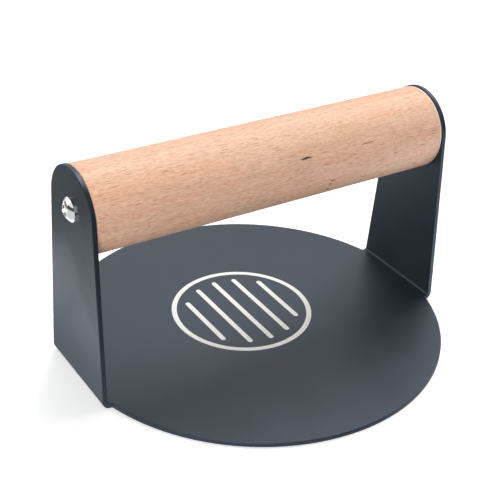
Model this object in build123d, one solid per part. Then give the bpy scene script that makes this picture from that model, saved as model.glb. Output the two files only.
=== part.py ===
from build123d import *
import math
import os

# Round patty press: a flat disc with two upright ears, bent from one coated steel blank,
# and a beech grip held between the ears by a screw and a threaded insert at each end.
# Millimetres. +Z is up, +X runs along the grip, and the origin is the centre of the
# disc's flat underside.

# --- driving dimensions ---------------------------------------------------------------
plate_diameter = 150.0
sheet_thickness = 1.8  # 1.7 mm steel with a 0.05 mm non-stick coat on each side
bend_outer_radius = 2.9
ear_outset = 0.4  # an ear's outer face stands this far outside the disc's rim
ear_base_width = 42.4
grip_diameter = 32.0
grip_axis_height = 69.9
ear_top_margin = 0.3  # the ear's rounded top stands this far outside the grip

relief_radius = 0.5  # inside corner where the disc's rim meets an ear
edge_break = 0.25  # coated edges are slightly rounded
grip_end_round = 0.6

screw_diameter = 4.0  # M4
screw_length = 16.0
screw_rise = 0.9  # the screws sit this far above the grip's middle
screw_tip_chamfer = 0.6
screw_head_diameter = 9.0  # low domed head with a short upright rim
screw_head_height = 2.6
screw_head_rim = 0.7
screw_hole_diameter = 4.5

recess_span = 4.4  # cross recess, measured over two opposite wings at the head's top
recess_floor_span = 2.2
recess_wing_width = 1.05
recess_core_diameter = 2.6
recess_floor_core_diameter = 1.8
recess_depth = 2.0
recess_turn = {-1: 22.0, 1: 61.0}  # degrees, where each screw stopped when it was tightened

insert_length = 12.0
insert_crest_diameter = 8.0
insert_root_diameter = 6.4
insert_pitch = 2.0
insert_setback = 0.5  # below the grip's end face
insert_slot_width = 1.2
insert_slot_depth = 1.5
grip_bore_depth = 17.0

# --- derived dimensions ---------------------------------------------------------------
plate_radius = plate_diameter / 2
ear_outer_x = plate_radius + ear_outset
ear_inner_x = ear_outer_x - sheet_thickness
bend_start_x = ear_outer_x - bend_outer_radius
ear_top_radius = grip_diameter / 2 + ear_top_margin
ear_height = grip_axis_height + ear_top_radius
screw_axis_height = grip_axis_height + screw_rise
tab_root_x = plate_radius * 0.8  # well inside the disc, where the ear's strip starts
grip_length = 2 * ear_inner_x

SIDES = {-1: "left", 1: "right"}
UPWARDS = (Align.CENTER, Align.CENTER, Align.MIN)
DOWNWARDS = (Align.CENTER, Align.CENTER, Align.MAX)


# --- press plate ----------------------------------------------------------------------
def ear_outline():
    """Face of one ear seen along X: straight sides, each a tangent to the round top."""
    half_base = ear_base_width / 2
    reach = math.hypot(half_base, grip_axis_height)
    lean = math.asin(ear_top_radius / reach) - math.asin(half_base / reach)
    side_length = math.sqrt(reach**2 - ear_top_radius**2)
    along_side = Vector(math.sin(lean), math.cos(lean))
    foot = Vector(half_base, 0) - along_side * sheet_thickness
    shoulder = Vector(half_base, 0) + along_side * side_length
    outline = Polyline((-shoulder.X, shoulder.Y), (-foot.X, foot.Y), (foot.X, foot.Y), (shoulder.X, shoulder.Y))
    top = ThreePointArc((shoulder.X, shoulder.Y), (0, ear_height), (-shoulder.X, shoulder.Y))
    return make_face([*outline.edges(), *top.edges()])


def right_ear():
    """Flat tab, bend and upright of the ear on +X, cut to the ear's outline."""
    middle = sheet_thickness / 2
    bend_line = FilletPolyline(
        (tab_root_x, middle),
        (ear_outer_x - middle, middle),
        (ear_outer_x - middle, ear_height + middle),
        radius=bend_outer_radius - middle,
    )
    strip = extrude(Plane.XZ * trace(bend_line, line_width=sheet_thickness), ear_base_width, both=True)
    return strip & extrude(Plane.YZ * ear_outline(), ear_outer_x + middle)


def is_through_sheet(edge):
    """True for an edge that runs straight across the sheet's thickness."""
    run = edge @ 1 - edge @ 0
    return abs(run.length - sheet_thickness) < sheet_thickness / 50 and abs(run.Y) < edge_break


def is_relief_corner(edge):
    """True for an edge through the sheet where the rim runs into an ear's side."""
    return is_through_sheet(edge) and abs(edge.center().X) < bend_start_x and edge.center().Z < sheet_thickness


def is_cut_edge(edge):
    """True for the edges that run round the blank, not for those across its thickness or along a bend."""
    run = edge @ 1 - edge @ 0
    along_bend = edge.geom_type == GeomType.LINE and abs(run.X) + abs(run.Z) < edge_break < abs(run.Y)
    return not along_bend and not is_through_sheet(edge)


def press_plate():
    """The bent blank: disc, two ears and their screw holes."""
    ear = right_ear()
    disc = Cylinder(plate_radius, sheet_thickness, align=UPWARDS)
    disc &= Box(2 * bend_start_x, plate_diameter, 2 * sheet_thickness)
    plate = disc + ear + mirror(ear, Plane.YZ)
    plate = fillet(plate.edges().filter_by(is_relief_corner), relief_radius)
    plate = fillet(plate.edges().filter_by(is_cut_edge), edge_break)
    holes = Cylinder(screw_hole_diameter / 2, plate_diameter * 2)
    return plate - Plane(origin=(0, 0, screw_axis_height), z_dir=(1, 0, 0)) * holes


# --- fasteners, drawn with their outward end up the Z axis ------------------------------
def cross_recess():
    """The cutter for a cross recess: two tapered wings across a tapered core."""
    top = screw_head_height
    floor = top - recess_depth
    wing = make_face(
        Polyline(
            (-recess_span / 2, top),
            (recess_span / 2, top),
            (recess_floor_span / 2, floor),
            (-recess_floor_span / 2, floor),
            close=True,
        )
    )
    wing = extrude(Plane.XZ * wing, recess_wing_width / 2, both=True)
    core = Cone(recess_floor_core_diameter / 2, recess_core_diameter / 2, recess_depth, align=UPWARDS)
    return wing + wing.rotate(Axis.Z, 90) + Pos(0, 0, floor) * core


def screw(side):
    """Domed machine screw. The head's flat underside is at Z = 0."""
    head_radius = screw_head_diameter / 2
    dome_rise = screw_head_height - screw_head_rim
    dome_radius = (head_radius**2 + dome_rise**2) / (2 * dome_rise)
    dome = Pos(0, 0, screw_head_height - dome_radius) * Sphere(dome_radius)
    head = Cylinder(head_radius, screw_head_height, align=UPWARDS) & dome
    shank = Cylinder(screw_diameter / 2, screw_length, align=DOWNWARDS)
    shank = chamfer(shank.edges().sort_by(Axis.Z)[0], screw_tip_chamfer)
    return head + shank - cross_recess().rotate(Axis.Z, recess_turn[side])


def insert_body():
    """The insert without its bore: a coarse wood thread, drawn as rings."""
    crest = insert_crest_diameter / 2
    root = insert_root_diameter / 2
    bottom = -sheet_thickness - insert_setback - insert_length
    profile = [(0, bottom), (root, bottom)]
    for ring in range(round(insert_length / insert_pitch)):
        ring_bottom = bottom + ring * insert_pitch
        profile.append((root, ring_bottom + insert_pitch / 4))
        profile.append((crest, ring_bottom + insert_pitch / 2))
        profile.append((root, ring_bottom + insert_pitch * 3 / 4))
    profile.append((root, bottom + insert_length))
    profile.append((0, bottom + insert_length))
    return revolve(Plane.XZ * make_face(Polyline(*profile, close=True)), Axis.Z)


def threaded_insert():
    """Brass insert with the screw's bore and a driver slot across its outer end."""
    outer_end = -sheet_thickness - insert_setback
    bore = Cylinder(screw_diameter / 2, screw_length * 2)
    slot = Box(insert_crest_diameter, insert_slot_width, insert_slot_depth, align=DOWNWARDS)
    return insert_body() - bore - Pos(0, 0, outer_end) * slot


def on_ear(shape, side):
    """Place a fastener on the left (-1) or right (+1) ear's outer face, on the screws' axis."""
    seat = Plane(origin=(side * ear_outer_x, 0, screw_axis_height), x_dir=(0, side, 0), z_dir=(side, 0, 0))
    return seat * shape


# --- grip -----------------------------------------------------------------------------
def handle_grip():
    """Beech dowel with eased ends, bored at each end for its insert and the screw's tip."""
    dowel = Cylinder(grip_diameter / 2, grip_length)
    dowel = fillet(dowel.edges().filter_by(GeomType.CIRCLE), grip_end_round)
    grip = Plane(origin=(0, 0, grip_axis_height), z_dir=(1, 0, 0)) * dowel
    bore = Cylinder(insert_root_diameter / 2, sheet_thickness + grip_bore_depth, align=DOWNWARDS)
    for side in SIDES:
        grip -= on_ear(bore + insert_body(), side)
    return grip


# --- nodes ----------------------------------------------------------------------------
nodes = {"press_plate": press_plate(), "handle_grip": handle_grip()}
for side, side_name in SIDES.items():
    nodes[f"handle_screw_{side_name}"] = on_ear(screw(side), side)
    nodes[f"threaded_insert_{side_name}"] = on_ear(threaded_insert(), side)

os.makedirs("parts", exist_ok=True)
for name, shape in nodes.items():
    export_step(shape, f"parts/{name}.step")
    box = shape.bounding_box()
    print(f"{name}: {shape.volume:.1f} mm3, X {box.min.X:.2f}..{box.max.X:.2f}, "
          f"Y {box.min.Y:.2f}..{box.max.Y:.2f}, Z {box.min.Z:.2f}..{box.max.Z:.2f}")
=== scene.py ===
import math

import bmesh
import bpy
from mathutils import Matrix, Vector

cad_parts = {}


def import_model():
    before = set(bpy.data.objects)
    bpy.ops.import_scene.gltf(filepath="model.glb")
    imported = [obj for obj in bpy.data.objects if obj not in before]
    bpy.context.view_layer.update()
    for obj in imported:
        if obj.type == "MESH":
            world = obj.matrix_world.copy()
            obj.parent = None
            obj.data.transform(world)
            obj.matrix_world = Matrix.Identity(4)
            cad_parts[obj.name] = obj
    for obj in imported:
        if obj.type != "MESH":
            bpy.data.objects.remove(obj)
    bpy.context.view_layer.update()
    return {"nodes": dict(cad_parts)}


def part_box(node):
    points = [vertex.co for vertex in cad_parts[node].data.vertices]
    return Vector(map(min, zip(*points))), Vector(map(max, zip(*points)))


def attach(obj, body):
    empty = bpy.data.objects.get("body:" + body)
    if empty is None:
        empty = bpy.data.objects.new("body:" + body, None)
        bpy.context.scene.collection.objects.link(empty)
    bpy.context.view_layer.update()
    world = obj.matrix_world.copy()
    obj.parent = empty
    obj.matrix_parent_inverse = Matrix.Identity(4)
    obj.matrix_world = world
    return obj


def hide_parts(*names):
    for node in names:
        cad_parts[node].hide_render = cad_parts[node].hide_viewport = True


# The looks of the round patty press: the coated plate and the fasteners keep their CAD shapes, and the
# beech grip and the printed mark are made here. Metres, in the CAD frame: +Z up, +X along the grip.

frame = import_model()

MM = 0.001
ROOT = "root"

plate_low, plate_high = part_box("press_plate")
grip_low, grip_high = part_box("handle_grip")
screw_low, screw_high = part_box("handle_screw_left")
sheet_thickness = plate_high.x - grip_high.x
grip_radius = (grip_high.z - grip_low.z) / 2
grip_axis_z = (grip_high.z + grip_low.z) / 2
screw_axis_z = (screw_high.z + screw_low.z) / 2


# --- shader helpers -------------------------------------------------------------------
class Shader:
    """One node material round a Principled shader, with short calls for the nodes used here.

    `position` is the place on the object in millimetres.
    """

    def __init__(self, name):
        self.material = bpy.data.materials.new(name)
        self.material.use_nodes = True
        self.tree = self.material.node_tree
        self.principled = self.tree.nodes["Principled BSDF"]
        coordinates = self.tree.nodes.new("ShaderNodeTexCoord")
        self.position = self.call("VECT_SCALE", coordinates.outputs["Object"], 1 / MM)

    def feed(self, socket, value):
        """Set a socket to a constant, or link an output to it."""
        if isinstance(value, bpy.types.NodeSocket):
            self.tree.links.new(value, socket)
        else:
            socket.default_value = value

    def set(self, **values):
        """Set or link the Principled sockets, named in lower case with underscores."""
        sockets = {s.name.lower().replace(" ", "_"): s for s in self.principled.inputs}
        for name, value in values.items():
            self.feed(sockets[name], value)

    def call(self, operation, *values):
        """A math node, or a vector math node when the operation's name starts with VECT_."""
        vector = operation.startswith("VECT_")
        node = self.tree.nodes.new("ShaderNodeVectorMath" if vector else "ShaderNodeMath")
        node.operation = operation.removeprefix("VECT_")
        sockets = node.inputs
        if node.operation == "SCALE":
            sockets = [node.inputs["Vector"], node.inputs["Scale"]]
        for socket, value in zip(sockets, values):
            self.feed(socket, value)
        return node.outputs["Value"] if node.operation == "LENGTH" else node.outputs[0]

    def weighted(self, *terms):
        """The sum of outputs, each given with its weight."""
        total = 0.0
        for output, weight in terms:
            total = self.call("MULTIPLY_ADD", output, weight, total)
        return total

    def hypotenuse(self, first, second):
        """The distance that two distances at right angles to each other make."""
        squares = [self.call("MULTIPLY", side, side) for side in (first, second)]
        return self.call("SQRT", self.call("ADD", *squares))

    def split(self, vector):
        """The X, Y and Z outputs of a vector."""
        node = self.tree.nodes.new("ShaderNodeSeparateXYZ")
        self.feed(node.inputs[0], vector)
        return list(node.outputs)

    def join(self, x, y, z):
        """A vector from three values."""
        node = self.tree.nodes.new("ShaderNodeCombineXYZ")
        for socket, value in zip(node.inputs, (x, y, z)):
            self.feed(socket, value)
        return node.outputs[0]

    def noise(self, vector, size, detail=2.0, roughness=0.5, distortion=0.0):
        """Noise from 0 to 1 with features about `size` long in the vector's units, one number or three."""
        node = self.tree.nodes.new("ShaderNodeTexNoise")
        sizes = size if isinstance(size, tuple) else (size, size, size)
        self.feed(node.inputs["Vector"], self.call("VECT_DIVIDE", vector, sizes))
        node.inputs["Scale"].default_value = 1.0
        node.inputs["Detail"].default_value = detail
        node.inputs["Roughness"].default_value = roughness
        node.inputs["Distortion"].default_value = distortion
        return node.outputs["Fac"]

    def remap(self, value, low, high, to_low=0.0, to_high=1.0, smooth=True):
        """Map low..high to to_low..to_high, clamped."""
        node = self.tree.nodes.new("ShaderNodeMapRange")
        node.interpolation_type = "SMOOTHSTEP" if smooth else "LINEAR"
        for name, number in (("From Min", low), ("From Max", high), ("To Min", to_low), ("To Max", to_high)):
            node.inputs[name].default_value = number
        self.feed(node.inputs["Value"], value)
        return node.outputs["Result"]

    def blend(self, factor, first, second):
        """Mix two colours."""
        node = self.tree.nodes.new("ShaderNodeMix")
        node.data_type = "RGBA"
        self.feed(node.inputs["Factor"], factor)
        self.feed(node.inputs[6], first)
        self.feed(node.inputs[7], second)
        return node.outputs[2]

    def bump(self, height, distance, normal=None):
        """A bump of `distance` metres between heights 0 and 1, on top of another bump's normal if given."""
        node = self.tree.nodes.new("ShaderNodeBump")
        node.inputs["Strength"].default_value = 1.0
        node.inputs["Distance"].default_value = distance
        self.feed(node.inputs["Height"], height)
        if normal is not None:
            self.feed(node.inputs["Normal"], normal)
        return node.outputs["Normal"]


def brightened(colour, factor):
    """A colour times a factor, still opaque."""
    return tuple(factor * channel for channel in colour[:3]) + (1,)


# --- coated steel ---------------------------------------------------------------------
# In this section and the next four, sizes are in mm and bump heights in m. A name that ends in FROM_TO
# holds the two values of the noise between which an effect comes in.
COAT_COLOUR = (0.0130, 0.0190, 0.0225, 1)
COAT_GLOSS_TINT = (0.66, 0.784, 1, 1)
COAT_GLOSS_LEVEL = 0.68
COAT_ROUGHNESS = 0.41
COAT_ROUGHNESS_SWING = 0.03  # up and down by the clouds, and as much again by the grain
COAT_CLOUD_SIZE = 22.0
COAT_CLOUD_FROM_TO = (0.3, 0.7)
COAT_CLOUD_DARKEST = 0.9  # times the coat's colour
COAT_CLOUD_LIGHTEST = 1.12
COAT_PEEL_SIZE = 1.6
COAT_PEEL_HEIGHT = 0.006 * MM
COAT_GRAIN_SIZE = 0.35
COAT_GRAIN_FROM_TO = (0.2, 0.8)
COAT_GRAIN_HEIGHT = 0.008 * MM


def coated_steel():
    """Satin non-stick coat: very fine grain, faint cloudy wiping marks."""
    shader = Shader("satin_non_stick_coat")
    clouds = shader.noise(shader.position, COAT_CLOUD_SIZE, detail=4.0, distortion=0.6)
    grain = shader.noise(shader.position, COAT_GRAIN_SIZE)
    peel = shader.noise(shader.position, COAT_PEEL_SIZE, detail=1.0)
    smoothest = COAT_ROUGHNESS - COAT_ROUGHNESS_SWING
    roughest = COAT_ROUGHNESS + COAT_ROUGHNESS_SWING
    roughness = shader.call(
        "ADD",
        shader.remap(clouds, *COAT_CLOUD_FROM_TO, smoothest, roughest),
        shader.remap(grain, *COAT_GRAIN_FROM_TO, -COAT_ROUGHNESS_SWING, COAT_ROUGHNESS_SWING),
    )
    darkest = brightened(COAT_COLOUR, COAT_CLOUD_DARKEST)
    lightest = brightened(COAT_COLOUR, COAT_CLOUD_LIGHTEST)
    peeled = shader.bump(peel, COAT_PEEL_HEIGHT)
    shader.set(
        base_color=shader.blend(shader.remap(clouds, *COAT_CLOUD_FROM_TO), darkest, lightest),
        roughness=roughness,
        normal=shader.bump(grain, COAT_GRAIN_HEIGHT, normal=peeled),
        specular_tint=COAT_GLOSS_TINT,
        specular_ior_level=COAT_GLOSS_LEVEL,
    )
    return shader.material


# --- beech ----------------------------------------------------------------------------
BEECH_PITH_Y = 40.0  # from the grip's axis to the middle of the tree
BEECH_PITH_Z = -40.0
BEECH_PINK = (0.98, 0.608, 0.424, 1)
BEECH_STRAW = (0.945, 0.646, 0.462, 1)
BEECH_DASH = (0.54, 0.230, 0.130, 1)
BEECH_FLAW = (0.10, 0.032, 0.020, 1)
# The colour of the painted highlight along the right end's eased edge, not a sanded paler wood.
BEECH_EDGE_HIGHLIGHT = (1.0, 0.86, 0.76, 1)
BEECH_GLOSS_LEVEL = 0.35
BEECH_ROUGHNESS = 0.5
BEECH_DASH_ROUGHNESS = 0.68
BEECH_RELIEF_HEIGHT = 0.012 * MM
BEECH_FIBRE_RELIEF = 0.25  # of the relief's height
BEECH_SMALL_DASH_DENT = 0.3
BEECH_LARGE_DASH_DENT = 0.7
# Sizes of the wood's figure: along the grain, along the rings, and from ring to ring.
BEECH_DRIFT_SIZE = (45.0, 20.0, 20.0)
BEECH_WAVER_SIZE = (70.0, 16.0, 16.0)
BEECH_WARMTH_SIZE = (34.0, 5.0, 5.0)
BEECH_STREAK_SIZE = (16.0, 1.0, 1.3)
BEECH_FIBRE_SIZE = (2.2, 0.28, 0.5)
BEECH_SMALL_DASH_CELL = (3.0, 0.34, 5.0)
BEECH_LARGE_DASH_CELL = (6.4, 0.56, 8.0)
BEECH_SMALL_DASH_REACH = 0.42  # of its cell
BEECH_LARGE_DASH_REACH = 0.34
BEECH_DASH_SOLID = 0.3  # of its reach
BEECH_DASH_MISSING = 0.2  # this share of the dashes does not show at all
BEECH_DRIFT = 3.0  # how far the figure drifts along the rings
BEECH_RING_WIDTH = 2.4
BEECH_RING_WAVER = 3.5  # in rings
BEECH_LATE_WOOD_FROM_TO = (0.55, 0.97)  # of the ring
BEECH_STREAK_FROM_TO = (0.35, 0.75)
BEECH_FIBRE_FROM_TO = (0.3, 0.7)
BEECH_WARMTH_FROM_TO = (0.35, 0.65)
# How far each part of the figure turns the wood towards the dash colour.
BEECH_LATE_WOOD_DEPTH = 0.10
BEECH_STREAK_DEPTH = 0.16
BEECH_FIBRE_DEPTH = 0.42
BEECH_SMALL_DASH_DEPTH = 0.60
BEECH_LARGE_DASH_DEPTH = 0.90
# Small flaws in the wood: mm along the grip, degrees from the top towards the back, half length and half
# width in mm, and how dark. Their outlines wander a little.
BEECH_FLAWS = (
    (10.1, -65, 3.5, 0.55, 1.0),
    (38.0, -65, 4.0, 0.30, 0.7),
    (22.6, -108, 1.3, 0.50, 0.7),
    (22.0, -114, 0.7, 1.0, 0.7),
    (22.2, -126, 0.7, 0.9, 0.8),
)
BEECH_FLAW_SOLID = 0.35  # of its size
BEECH_FLAW_WANDER_SIZE = 1.6
BEECH_FLAW_WANDER = 0.9
BEECH_EDGE_HIGHLIGHT_REACH = 1.1  # from the right end face, where a pale band on the eased edge paints a highlight
BEECH_EDGE_HIGHLIGHT_DEPTH = 0.9


def grain_coordinates(shader, x, y, height):
    """The place in the tree: along the grain, along the rings, and out from the pith."""
    from_pith_y = shader.call("SUBTRACT", y, BEECH_PITH_Y)
    from_pith_z = shader.call("SUBTRACT", height, BEECH_PITH_Z)
    turn = shader.call("ARCTAN2", from_pith_y, from_pith_z)
    drift = shader.noise(shader.position, BEECH_DRIFT_SIZE)
    arc = shader.weighted((turn, math.hypot(BEECH_PITH_Y, BEECH_PITH_Z)), (drift, BEECH_DRIFT))
    return shader.join(x, arc, shader.hypotenuse(from_pith_y, from_pith_z))


def spindles(shader, grain, cell, reach):
    """Thin pointed dashes, one at a random place in each cell; 0 to 1.

    Each dash fades out at `reach` times the cell from its middle, and its strength is random.
    """
    node = shader.tree.nodes.new("ShaderNodeTexVoronoi")
    node.feature = "F1"
    shader.feed(node.inputs["Vector"], shader.call("VECT_DIVIDE", grain, cell))
    node.inputs["Scale"].default_value = 1.0
    dash = shader.remap(node.outputs["Distance"], BEECH_DASH_SOLID * reach, reach, 1.0, 0.0)
    strength = shader.remap(shader.split(node.outputs["Color"])[0], BEECH_DASH_MISSING, 1.0, smooth=False)
    return shader.call("MULTIPLY", dash, strength)


def flaw(shader, along, around, x, degrees, half_length, half_width):
    """A single lens-shaped spot on the grip's surface at x mm and an angle from the top; 0 to 1."""
    place = math.radians(degrees) * grip_radius / MM
    run = shader.call("DIVIDE", shader.call("SUBTRACT", along, x), half_length)
    rise = shader.call("DIVIDE", shader.call("SUBTRACT", around, place), half_width)
    return shader.remap(shader.hypotenuse(run, rise), BEECH_FLAW_SOLID, 1.0, 1.0, 0.0)


def beech():
    """Beech: rings round a pith outside the dowel, rays cut end-on as short dark dashes, fine fibres."""
    shader = Shader("beech_wood")
    x, y, z = shader.split(shader.position)
    height = shader.call("SUBTRACT", z, grip_axis_z / MM)
    grain = grain_coordinates(shader, x, y, height)

    radius = shader.split(grain)[2]
    waver = shader.noise(grain, BEECH_WAVER_SIZE, detail=3.0)
    ring = shader.call("FRACT", shader.weighted((radius, 1 / BEECH_RING_WIDTH), (waver, BEECH_RING_WAVER)))
    late_wood = shader.remap(ring, *BEECH_LATE_WOOD_FROM_TO)
    streaks = shader.noise(grain, BEECH_STREAK_SIZE, detail=3.0, roughness=0.6)
    streaks = shader.remap(streaks, *BEECH_STREAK_FROM_TO)
    fibres = shader.noise(grain, BEECH_FIBRE_SIZE, roughness=0.6)
    fibres = shader.remap(fibres, *BEECH_FIBRE_FROM_TO)
    small_dashes = spindles(shader, grain, BEECH_SMALL_DASH_CELL, BEECH_SMALL_DASH_REACH)
    large_dashes = spindles(shader, grain, BEECH_LARGE_DASH_CELL, BEECH_LARGE_DASH_REACH)
    warmth = shader.noise(grain, BEECH_WARMTH_SIZE, detail=4.0, roughness=0.6)

    colour = shader.blend(shader.remap(warmth, *BEECH_WARMTH_FROM_TO), BEECH_STRAW, BEECH_PINK)
    for figure, depth in (
        (late_wood, BEECH_LATE_WOOD_DEPTH),
        (streaks, BEECH_STREAK_DEPTH),
        (fibres, BEECH_FIBRE_DEPTH),
        (small_dashes, BEECH_SMALL_DASH_DEPTH),
        (large_dashes, BEECH_LARGE_DASH_DEPTH),
    ):
        colour = shader.blend(shader.call("MULTIPLY", figure, depth), colour, BEECH_DASH)

    turn = shader.call("ARCTAN2", y, height)
    wander = shader.call("SUBTRACT", shader.noise(shader.position, BEECH_FLAW_WANDER_SIZE), 0.5)
    around = shader.weighted((turn, grip_radius / MM), (wander, BEECH_FLAW_WANDER))
    for *place, depth in BEECH_FLAWS:
        spot = flaw(shader, x, around, *place)
        colour = shader.blend(shader.call("MULTIPLY", spot, depth), colour, BEECH_FLAW)

    # Painted highlight: a pale band along the right end's eased edge, where the grip meets the ear.
    from_end = shader.call("SUBTRACT", grip_high.x / MM, x)
    edge_highlight = shader.remap(from_end, 0.5 * BEECH_EDGE_HIGHLIGHT_REACH, BEECH_EDGE_HIGHLIGHT_REACH, 1.0, 0.0)
    colour = shader.blend(shader.call("MULTIPLY", edge_highlight, BEECH_EDGE_HIGHLIGHT_DEPTH), colour, BEECH_EDGE_HIGHLIGHT)

    relief = shader.weighted(
        (fibres, BEECH_FIBRE_RELIEF),
        (small_dashes, -BEECH_SMALL_DASH_DENT),
        (large_dashes, -BEECH_LARGE_DASH_DENT),
    )
    shader.set(
        base_color=colour,
        roughness=shader.remap(large_dashes, 0.0, 1.0, BEECH_ROUGHNESS, BEECH_DASH_ROUGHNESS),
        normal=shader.bump(relief, BEECH_RELIEF_HEIGHT),
        specular_ior_level=BEECH_GLOSS_LEVEL,
    )
    return shader.material


# --- polished steel -------------------------------------------------------------------
STEEL_COLOUR = (0.80, 0.80, 0.785, 1)
STEEL_ROUGHNESS = (0.07, 0.12)
STEEL_SMUDGE_ROUGHNESS = 0.06  # more where it is smudged
STEEL_MARK_SIZE = (0.12, 0.12, 1.5)
STEEL_MARK_FROM_TO = (0.3, 0.7)
STEEL_MARK_HEIGHT = 0.001 * MM
STEEL_SMUDGE_SIZE = 1.8
STEEL_SMUDGE_FROM_TO = (0.45, 0.75)


def polished_steel():
    """Polished stainless steel with faint polishing marks and smudges."""
    shader = Shader("polished_steel")
    marks = shader.noise(shader.position, STEEL_MARK_SIZE)
    smudge = shader.noise(shader.position, STEEL_SMUDGE_SIZE, detail=3.0)
    roughness = shader.call(
        "ADD",
        shader.remap(marks, *STEEL_MARK_FROM_TO, *STEEL_ROUGHNESS),
        shader.remap(smudge, *STEEL_SMUDGE_FROM_TO, 0.0, STEEL_SMUDGE_ROUGHNESS),
    )
    shader.set(
        base_color=STEEL_COLOUR,
        metallic=1.0,
        roughness=roughness,
        normal=shader.bump(marks, STEEL_MARK_HEIGHT),
    )
    return shader.material


# --- brass ----------------------------------------------------------------------------
BRASS_BRIGHT = (0.75, 0.56, 0.24, 1)
BRASS_DULL = (0.58, 0.41, 0.17, 1)
BRASS_ROUGHNESS = (0.22, 0.34)
BRASS_TURNING_SIZE = (0.08, 2.0, 2.0)
BRASS_TURNING_FROM_TO = (0.3, 0.7)
BRASS_TURNING_HEIGHT = 0.004 * MM
BRASS_TARNISH_SIZE = 3.0
BRASS_TARNISH_FROM_TO = (0.35, 0.7)


def machined_brass():
    """Turned brass, for the inserts inside the grip."""
    shader = Shader("machined_brass")
    turning = shader.noise(shader.position, BRASS_TURNING_SIZE)
    tarnish = shader.noise(shader.position, BRASS_TARNISH_SIZE, detail=3.0)
    shader.set(
        base_color=shader.blend(shader.remap(tarnish, *BRASS_TARNISH_FROM_TO), BRASS_BRIGHT, BRASS_DULL),
        metallic=1.0,
        roughness=shader.remap(turning, *BRASS_TURNING_FROM_TO, *BRASS_ROUGHNESS),
        normal=shader.bump(turning, BRASS_TURNING_HEIGHT),
    )
    return shader.material


# --- printed ink ----------------------------------------------------------------------
INK_WHITE = (0.84, 0.86, 0.84, 1)
INK_WORN = (0.60, 0.62, 0.61, 1)
INK_ROUGHNESS = (0.45, 0.6)
INK_WORN_FROM_TO = (0.55, 0.85)
INK_ROUGH_FROM_TO = (0.2, 0.8)
INK_MOTTLE_SIZE = 0.45
INK_MOTTLE_HEIGHT = 0.01 * MM


def printed_ink():
    """White screen-printed ink, slightly mottled where the coat shows its grain."""
    shader = Shader("printed_ink")
    mottle = shader.noise(shader.position, INK_MOTTLE_SIZE, detail=3.0)
    shader.set(
        base_color=shader.blend(shader.remap(mottle, *INK_WORN_FROM_TO), INK_WHITE, INK_WORN),
        roughness=shader.remap(mottle, *INK_ROUGH_FROM_TO, *INK_ROUGHNESS),
        normal=shader.bump(mottle, INK_MOTTLE_HEIGHT),
    )
    return shader.material


# --- pieces ---------------------------------------------------------------------------
def dress_cad_nodes():
    """Give every CAD node that stays visible its detailed material."""
    steel, screws, brass = coated_steel(), polished_steel(), machined_brass()
    for node, material in {
        "press_plate": steel,
        "handle_screw_left": screws,
        "handle_screw_right": screws,
        "threaded_insert_left": brass,
        "threaded_insert_right": brass,
    }.items():
        for material_slot in frame["nodes"][node].material_slots:
            material_slot.material = material


def new_piece(name, build, material):
    """Turn a finished bmesh into a piece that rides on the root body."""
    bmesh.ops.recalc_face_normals(build, faces=build.faces)
    mesh = bpy.data.meshes.new(name)
    build.to_mesh(mesh)
    build.free()
    piece = bpy.data.objects.new(name, mesh)
    bpy.context.scene.collection.objects.link(piece)
    piece.data.materials.append(material)
    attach(piece, ROOT)
    return piece


def full_turn(segments):
    """The angles of a closed circle's points."""
    return [2 * math.pi * i / segments for i in range(segments)]


def bridge(build, first, second):
    """Faces between two closed loops of points, either of which may be a single point."""
    count = max(len(first), len(second))
    for i in range(count):
        j = (i + 1) % count
        near = [first[i % len(first)], first[j % len(first)]]
        far = [second[j % len(second)], second[i % len(second)]]
        build.faces.new(list(dict.fromkeys(near + far)))


GRIP_TURN_SEGMENTS = 192
GRIP_LENGTH_SEGMENTS = 150
GRIP_END_ROUND = 0.6 * MM
GRIP_ROUND_STEPS = 5
GRIP_BORE_RADIUS = 4.0 * MM
GRIP_BORE_DEPTH = 17.0 * MM
GRIP_SHARP_ANGLE = math.radians(40)


def half_grip_profile():
    """(x, radius, axis height) from the bottom of the right bore, round the eased edge, to the middle."""
    end = grip_high.x
    bore_bottom = end - GRIP_BORE_DEPTH
    profile = [
        (bore_bottom, 0, screw_axis_z),
        (bore_bottom, GRIP_BORE_RADIUS, screw_axis_z),
        (end, GRIP_BORE_RADIUS, screw_axis_z),
    ]
    for step in range(GRIP_ROUND_STEPS + 1):
        angle = math.pi / 2 * step / GRIP_ROUND_STEPS
        x = end - GRIP_END_ROUND * (1 - math.cos(angle))
        profile.append((x, grip_radius - GRIP_END_ROUND * (1 - math.sin(angle)), grip_axis_z))
    straight_end = end - GRIP_END_ROUND
    half_count = GRIP_LENGTH_SEGMENTS // 2
    for i in range(1, half_count + 1):
        profile.append((straight_end * (1 - i / half_count), grip_radius, grip_axis_z))
    return profile


def beech_grip():
    """The turned dowel with eased ends and the bore for each insert, as one lathed mesh."""
    right = half_grip_profile()
    profile = right + [(-x, radius, axis_z) for x, radius, axis_z in reversed(right[:-1])]
    build = bmesh.new()
    rings = []
    for x, radius, axis_z in profile:
        turns = full_turn(GRIP_TURN_SEGMENTS) if radius else [0.0]
        ring = [(x, radius * math.sin(a), axis_z + radius * math.cos(a)) for a in turns]
        rings.append([build.verts.new(point) for point in ring])
    for first, second in zip(rings, rings[1:]):
        bridge(build, first, second)
    piece = new_piece("beech_grip", build, beech())
    piece.data.shade_smooth()
    piece.data.set_sharp_from_angle(angle=GRIP_SHARP_ANGLE)
    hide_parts("handle_grip")


MARK_STROKE = 2.0 * MM
MARK_HEIGHT = 0.04 * MM  # above the coat, and as much again sunk in it
MARK_CENTRE_Y = 7.0 * MM
MARK_RING_RADIUS = 27.0 * MM
MARK_BAR_PITCH = 8.5 * MM
MARK_BARS_EACH_SIDE = 2
MARK_GAP = 3.6 * MM
MARK_RING_SEGMENTS = 160
MARK_CAP_STEPS = 10


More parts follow.
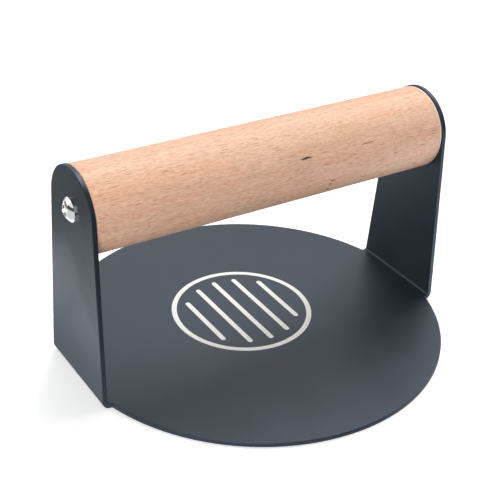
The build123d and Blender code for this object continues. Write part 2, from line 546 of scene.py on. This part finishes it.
def add_prism(build, outline, bottom, top):
    """A flat-topped prism on a closed outline of (x, y) points."""
    lower = [build.verts.new((x, y, bottom)) for x, y in outline]
    upper = [build.verts.new((x, y, top)) for x, y in outline]
    build.faces.new(upper)
    build.faces.new(list(reversed(lower)))
    bridge(build, lower, upper)


def capsule_outline(x, half_length, radius):
    """A bar along Y with round ends."""
    points = []
    for end, start_angle in ((1, 0.0), (-1, math.pi)):
        cap_y = MARK_CENTRE_Y + end * half_length
        for step in range(MARK_CAP_STEPS + 1):
            angle = start_angle + math.pi * step / MARK_CAP_STEPS
            points.append((x + radius * math.cos(angle), cap_y + radius * math.sin(angle)))
    return points


def grate_mark():
    """A plain printed grill-grate mark: a ring round parallel bars."""
    build = bmesh.new()
    bottom = sheet_thickness - MARK_HEIGHT
    top = sheet_thickness + MARK_HEIGHT
    inner, outer = MARK_RING_RADIUS - MARK_STROKE / 2, MARK_RING_RADIUS + MARK_STROKE / 2
    turns = full_turn(MARK_RING_SEGMENTS)
    loops = []
    for radius, z in ((outer, bottom), (outer, top), (inner, top), (inner, bottom)):
        circle = [(radius * math.cos(a), MARK_CENTRE_Y + radius * math.sin(a), z) for a in turns]
        loops.append([build.verts.new(point) for point in circle])
    for first, second in zip(loops, loops[1:] + loops[:1]):
        bridge(build, first, second)
    for bar in range(-MARK_BARS_EACH_SIDE, MARK_BARS_EACH_SIDE + 1):
        x = bar * MARK_BAR_PITCH
        half_length = math.sqrt((inner - MARK_GAP) ** 2 - x**2) - MARK_STROKE / 2
        add_prism(build, capsule_outline(x, half_length, MARK_STROKE / 2), bottom, top)
    new_piece("grate_mark", build, printed_ink())


# --- stage ----------------------------------------------------------------------------
AIM = Vector((0, 0, 0.04))
PANEL_DISTANCE = 1.1
# Softboxes round the press: azimuth, elevation, width, height, brightness. Azimuth 0 is the front (-Y)
# and 90 the right (+X). The key is high behind the right ear.
PANELS = {
    "key_back_right": (130, 65, 0.6, 0.6, 6.65),
    "top": (0, 90, 0.6, 0.6, 0.4),
    "back_right": (135, 32, 0.8, 0.5, 1.2),
    "back": (180, 32, 0.8, 0.5, 1.05),
    "back_low": (180, 8, 1.2, 0.35, 1.1),
    "back_left": (225, 25, 0.8, 0.8, 1.2),
    "left_front_low": (315, 8, 0.8, 0.35, 5.7),
    "left_front": (315, 32, 0.8, 0.5, 2.95),
    "front_high": (0, 40, 0.8, 0.5, 0.25),
    "right": (90, 28, 0.8, 0.8, 1.95),
}
# Cards that lie on the floor and throw light up, as a lit white table does: x from, x to, y from, y to,
# brightness.
FLOOR_CARDS = {
    "floor_left_contact": (-0.090, -0.0775, -0.10, 0.10, 0.65),
    "floor_left_back": (-0.12, -0.090, 0.0, 0.10, 1.6),
    "floor_left_front": (-0.12, -0.090, -0.12, 0.0, 2.0),
    "floor_back": (-0.10, 0.10, 0.077, 0.13, 1.25),
    "floor_back_far": (-0.25, 0.25, 0.13, 0.5, 0.5),
    "floor_right": (0.078, 0.2, -0.15, 0.12, 1.75),
    "floor_right_far": (0.2, 0.5, -0.3, 0.3, 1.8),
    "floor_under": (-0.0775, 0.0775, -0.0775, 0.0775, 0.7),
}
FLOOR_CARD_LEVEL = -1 * MM
FLOOR_CARD_COLOUR = (0.89, 0.94, 1.0)
# White reflectors that light the steel screws alone, as small cards beside each head would: a card on the
# floor out to each side, and a panel above it.
STEEL_CARD = (0.10, 0.70, -0.60, 0.60, 0.75)
STEEL_PANEL = (90, 38, 1.0, 1.0, 0.9)
WORLD_BRIGHTNESS = 0.08
BACKDROP_BRIGHTNESS = 1.0
FLOOR_WHITE = 0.9
FLOOR_GLOW = 0.41
FLOOR_ROUGHNESS = 0.9
FLOOR_LEVEL = -0.05 * MM  # a hair under the press, whose flat underside is at 0
FLOOR_REACH = 3.0
FLOOR_PLAIN_FROM = 0.25  # the floor turns to an even white between these distances from the press
FLOOR_PLAIN_TO = 0.60
CAMERA_AZIMUTH = -33.72
CAMERA_ELEVATION = 31.12
CAMERA_ROLL = 2.88
CAMERA_PLACE = (-0.2105, -0.30582, 0.25717)
CAMERA_LENS = 81.58
CAMERA_SENSOR_WIDTH = 36.0
CAMERA_CLIP_START = 0.01


def area_light(name, location, rotation, size_x, size_y, brightness):
    """A rectangular light whose surface has the given brightness, hidden from the camera."""
    data = bpy.data.lights.new(name, "AREA")
    data.shape = "RECTANGLE"
    data.size, data.size_y = size_x, size_y
    data.energy = brightness * math.pi * size_x * size_y
    light = bpy.data.objects.new(name, data)
    bpy.context.scene.collection.objects.link(light)
    light.location = location
    light.rotation_euler = rotation
    light.visible_camera = False
    return light


def direction(azimuth, elevation):
    """Unit vector from the object towards a place round it, angles in degrees."""
    a, e = math.radians(azimuth), math.radians(elevation)
    return Vector((math.sin(a) * math.cos(e), -math.cos(a) * math.cos(e), math.sin(e)))


def panel(name, azimuth, elevation, width, height, brightness):
    """A softbox that faces the press."""
    out = direction(azimuth, elevation)
    turn = out.to_track_quat("Z", "Y").to_euler()
    return area_light(name, AIM + out * PANEL_DISTANCE, turn, width, height, brightness)


def floor_card(name, x_low, x_high, y_low, y_high, brightness):
    """A card on the floor that throws cool light up."""
    middle = ((x_low + x_high) / 2, (y_low + y_high) / 2, FLOOR_CARD_LEVEL)
    card = area_light(name, middle, (math.pi, 0, 0), x_high - x_low, y_high - y_low, brightness)
    card.data.color = FLOOR_CARD_COLOUR
    return card


def lights():
    """Soft panels round the press, cards on the floor, and the reflectors for the screws."""
    for name, values in PANELS.items():
        panel(name, *values)
    for name, values in FLOOR_CARDS.items():
        floor_card(name, *values)
    steel = bpy.data.collections.new("steel_only")
    for node in ("handle_screw_left", "handle_screw_right"):
        steel.objects.link(frame["nodes"][node])
    near, far, y_low, y_high, brightness = STEEL_CARD
    azimuth, *panel_values = STEEL_PANEL
    for reflector in (
        floor_card("steel_floor_left", -far, -near, y_low, y_high, brightness),
        floor_card("steel_floor_right", near, far, y_low, y_high, brightness),
        panel("steel_left", -azimuth, *panel_values),
        panel("steel_right", azimuth, *panel_values),
    ):
        reflector.light_linking.receiver_collection = steel


def world():
    """A plain white surround: bright to the camera, and only a faint fill light on the press."""
    surround = bpy.data.worlds.new("white_surround")
    surround.use_nodes = True
    tree = surround.node_tree
    background = tree.nodes["Background"]
    background.inputs["Color"].default_value = (1, 1, 1, 1)
    light_path = tree.nodes.new("ShaderNodeLightPath")
    strength = tree.nodes.new("ShaderNodeMapRange")
    strength.inputs["To Min"].default_value = WORLD_BRIGHTNESS
    strength.inputs["To Max"].default_value = BACKDROP_BRIGHTNESS
    tree.links.new(light_path.outputs["Is Camera Ray"], strength.inputs["Value"])
    tree.links.new(strength.outputs["Result"], background.inputs["Strength"])
    bpy.context.scene.world = surround


def floor():
    """A white floor that only the camera sees, clear from below, so that the press's underside shows."""
    shader = Shader("white_floor")
    plain_from, plain_to = FLOOR_PLAIN_FROM / MM, FLOOR_PLAIN_TO / MM
    from_middle = shader.call("VECT_LENGTH", shader.position)
    shade = shader.remap(from_middle, plain_from, plain_to, FLOOR_WHITE, 0.0)
    geometry = shader.tree.nodes.new("ShaderNodeNewGeometry")
    shader.set(
        base_color=shader.join(shade, shade, shade),
        roughness=FLOOR_ROUGHNESS,
        specular_ior_level=0.0,
        emission_color=(1, 1, 1, 1),
        emission_strength=shader.remap(from_middle, plain_from, plain_to, FLOOR_GLOW, BACKDROP_BRIGHTNESS),
        alpha=shader.call("SUBTRACT", 1.0, geometry.outputs["Backfacing"]),
    )
    signs = ((-1, -1), (1, -1), (1, 1), (-1, 1))
    corners = [(x * FLOOR_REACH, y * FLOOR_REACH, FLOOR_LEVEL) for x, y in signs]
    mesh = bpy.data.meshes.new("floor")
    mesh.from_pydata(corners, [], [(0, 1, 2, 3)])
    mesh.materials.append(shader.material)
    plane = bpy.data.objects.new("floor", mesh)
    bpy.context.scene.collection.objects.link(plane)
    for way in ("diffuse", "glossy", "transmission", "volume_scatter", "shadow"):
        setattr(plane, f"visible_{way}", False)


def camera():
    """The camera, a little left of the front and above, slightly rolled."""
    data = bpy.data.cameras.new("camera")
    data.lens = CAMERA_LENS
    data.sensor_width = CAMERA_SENSOR_WIDTH
    data.clip_start = CAMERA_CLIP_START
    viewer = bpy.data.objects.new("camera", data)
    bpy.context.scene.collection.objects.link(viewer)
    back = direction(CAMERA_AZIMUTH, CAMERA_ELEVATION)
    roll = Matrix.Rotation(math.radians(CAMERA_ROLL), 3, "Z")
    turn = back.to_track_quat("Z", "Y").to_matrix() @ roll
    viewer.matrix_world = Matrix.Translation(CAMERA_PLACE) @ turn.to_4x4()
    bpy.context.scene.camera = viewer


dress_cad_nodes()
beech_grip()
grate_mark()
floor()
lights()
world()
camera()
bpy.context.scene.view_settings.view_transform = "Standard"
